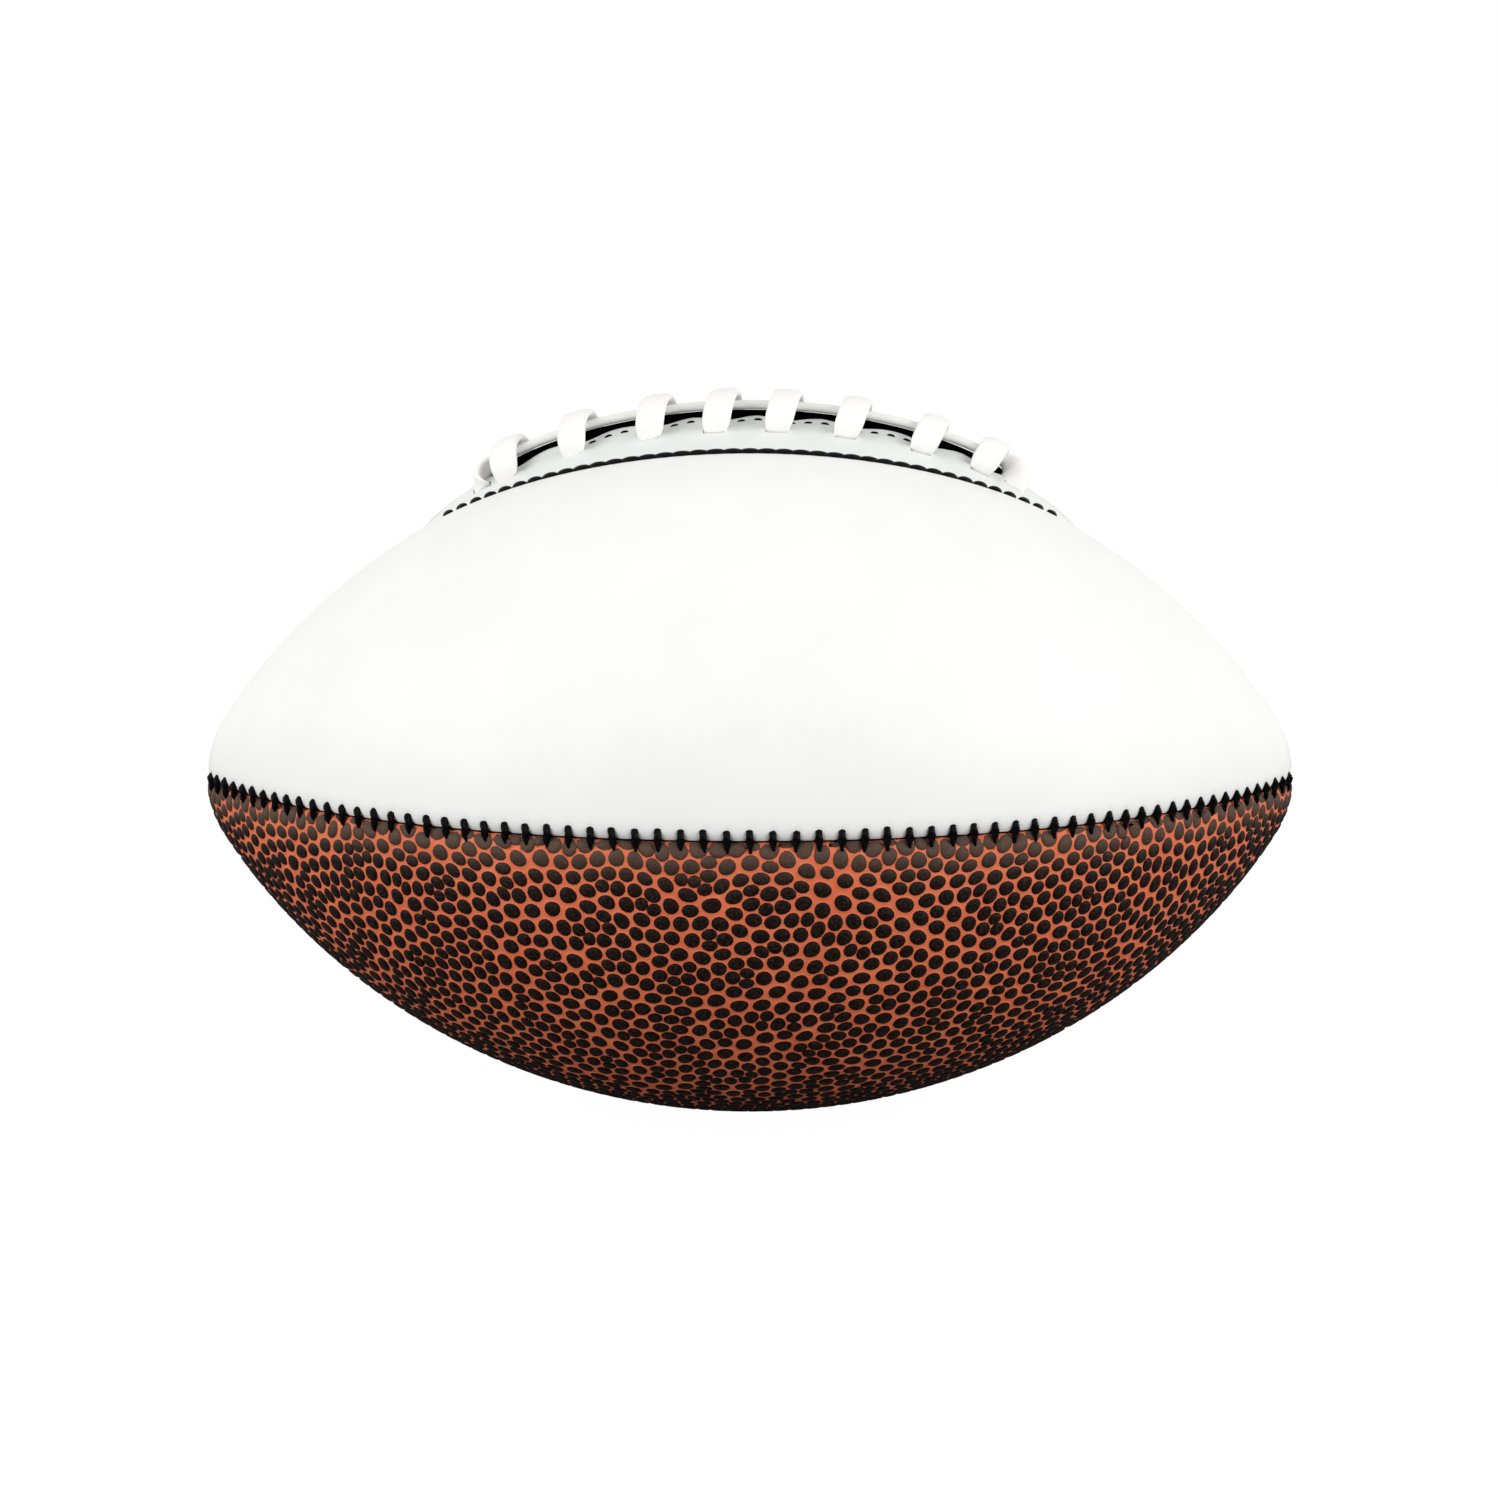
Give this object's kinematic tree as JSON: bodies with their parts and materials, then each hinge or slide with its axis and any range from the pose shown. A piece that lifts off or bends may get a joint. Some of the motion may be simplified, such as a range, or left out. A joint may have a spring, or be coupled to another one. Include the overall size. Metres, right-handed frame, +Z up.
{
  "type": "american football",
  "caption": "Small american football: sewn smooth white and pebbled brown cover panels, a raised laced slit on top, and an air bladder with its valve inside.",
  "frame": {"origin": "middle of the ball, on its long axis, halfway between the two points", "axes": "+X along the ball's length, +Z up through the middle of the lacing, -Y towards the front where the white panel meets the brown panel"},
  "size_m": [0.2158, 0.1328, 0.1423],
  "materials": {
    "white_cover": "smooth coated synthetic leather, satin",
    "brown_cover": "pebbled synthetic leather, dark pebbles on a rust ground",
    "strip_cover": "smooth pale grey synthetic leather, satin",
    "lace_strap": "soft vinyl strap, matte",
    "seam_thread": "waxed black polyester thread",
    "lining_cloth": "woven cotton lining",
    "facing_cloth": "woven stiffener",
    "tongue_cloth": "black synthetic leather, matte",
    "bladder_rubber": "moulded butyl rubber",
    "valve_rubber": "moulded rubber, matte"
  },
  "bodies": {
    "root": {"panel_front_upper": "white_cover", "panel_front_lower": "brown_cover", "panel_rear_lower": "brown_cover", "panel_rear_upper": "white_cover", "lining_front_upper": "lining_cloth", "lining_front_lower": "lining_cloth", "lining_rear_lower": "lining_cloth", "lining_rear_upper": "lining_cloth", "lace_strip_front": "strip_cover", "lace_strip_rear": "strip_cover", "lace_facing_front": "facing_cloth", "lace_facing_rear": "facing_cloth", "lace_tongue": "tongue_cloth", "lace": "lace_strap", "seam_thread_front": "seam_thread", "seam_thread_bottom": "seam_thread", "seam_thread_rear": "seam_thread", "seam_thread_top_left": "seam_thread", "seam_thread_top_right": "seam_thread", "strip_thread_front": "seam_thread", "strip_thread_rear": "seam_thread", "slit_thread_front": "seam_thread", "slit_thread_rear": "seam_thread", "bladder": "bladder_rubber", "valve_housing": "valve_rubber", "valve_core": "valve_rubber"}
  },
  "joints": []
}
